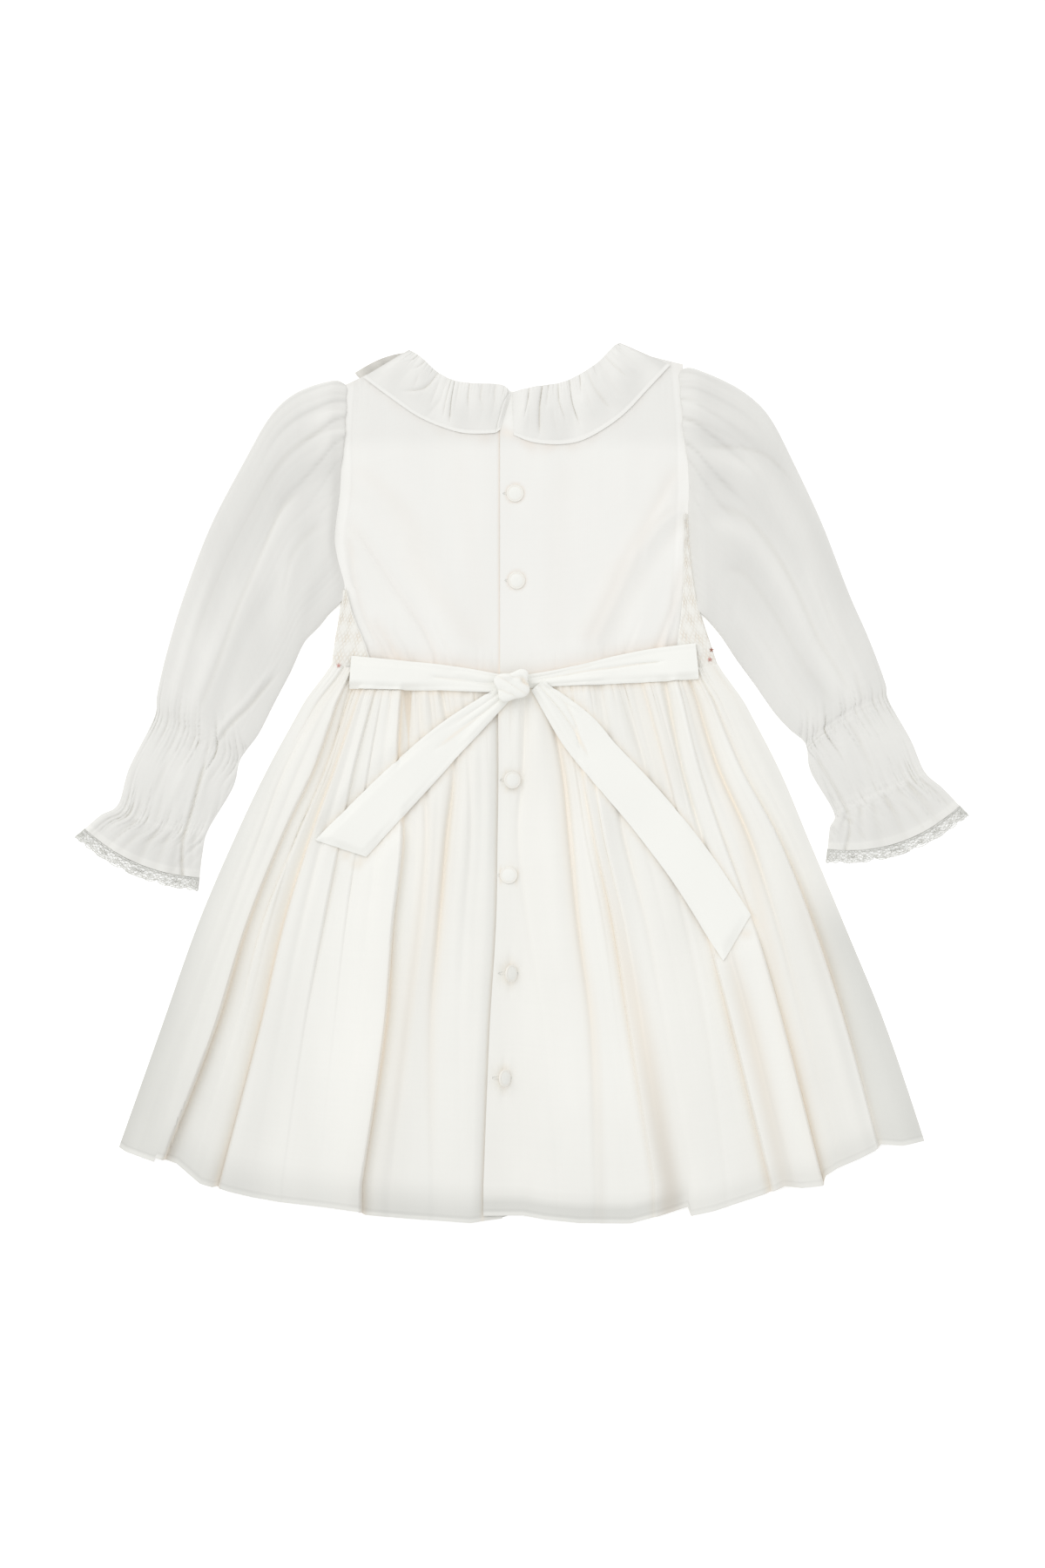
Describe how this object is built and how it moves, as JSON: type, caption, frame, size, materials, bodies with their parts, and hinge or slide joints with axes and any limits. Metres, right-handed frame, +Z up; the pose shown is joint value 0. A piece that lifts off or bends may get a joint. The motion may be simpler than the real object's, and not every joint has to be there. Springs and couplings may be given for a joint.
{
  "type": "toddler dress",
  "caption": "Long-sleeved toddler dress with a ruffled collar, smocked front, gathered skirt and tied sash, laid flat with its buttoned back up.",
  "frame": {"origin": "middle of the outline, on the surface that the dress lies on", "axes": "+Z up out of the laid dress, whose back is on top; +Y towards the neck; +X towards its right-hand side as seen from above"},
  "size_m": [0.5648, 0.556, 0.0177],
  "materials": {
    "lined_lawn": "matt plain-weave cotton lawn over a lining",
    "single_lawn": "matt plain-weave cotton lawn in a single layer",
    "lace": "matt cotton lace with a scalloped edge",
    "sash_cloth": "matt cotton lawn, doubled",
    "button_cloth": "cotton lawn drawn over a domed button"
  },
  "bodies": {
    "root": {"front_bodice": "lined_lawn", "front_side_left": "lined_lawn", "front_side_right": "lined_lawn", "front_skirt": "lined_lawn", "back_bodice_left": "lined_lawn", "back_bodice_right": "lined_lawn", "back_skirt_left": "lined_lawn", "back_skirt_right": "lined_lawn", "sleeve_left": "single_lawn", "sleeve_right": "single_lawn", "collar_left": "single_lawn", "collar_right": "single_lawn", "collar_front": "single_lawn", "lace_left": "lace", "lace_right": "lace", "sash_band_left": "sash_cloth", "sash_band_right": "sash_cloth", "sash_knot": "sash_cloth", "sash_tail_left": "sash_cloth", "sash_tail_right": "sash_cloth", "button_1": "button_cloth", "button_2": "button_cloth", "button_3": "button_cloth", "button_4": "button_cloth", "button_5": "button_cloth", "button_6": "button_cloth"}
  },
  "joints": []
}
